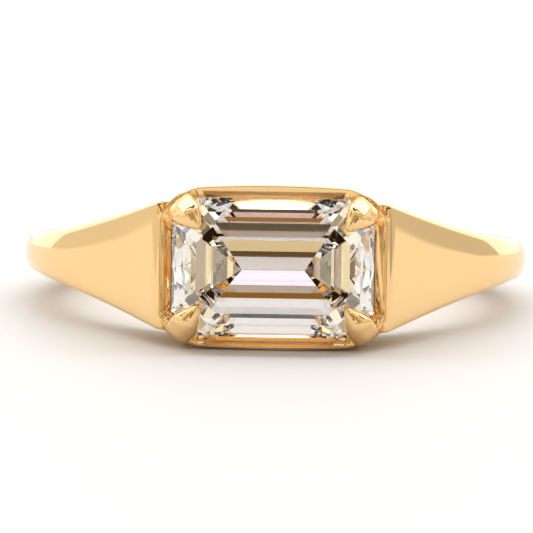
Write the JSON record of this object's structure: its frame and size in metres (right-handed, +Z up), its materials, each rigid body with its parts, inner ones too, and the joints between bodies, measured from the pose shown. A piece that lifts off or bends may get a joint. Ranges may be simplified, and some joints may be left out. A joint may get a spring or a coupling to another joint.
{
  "type": "east west ring",
  "caption": "Gold finger ring lying on its side: a cut-corner step-cut stone set lengthwise across the finger in a claw box head, on a slim band with tapered shoulders.",
  "frame": {"origin": "middle of the bounding box, on the surface that the ring lies on", "axes": "+Z up from that surface, -Y out of the stone's table side, X along the stone's long side"},
  "size_m": [0.0198, 0.022, 0.0062],
  "materials": {
    "gold": "yellow gold, polished to a mirror",
    "clear_stone": "colourless cut stone, polished"
  },
  "bodies": {
    "root": {"mount": "gold", "stone": "clear_stone"}
  },
  "joints": []
}
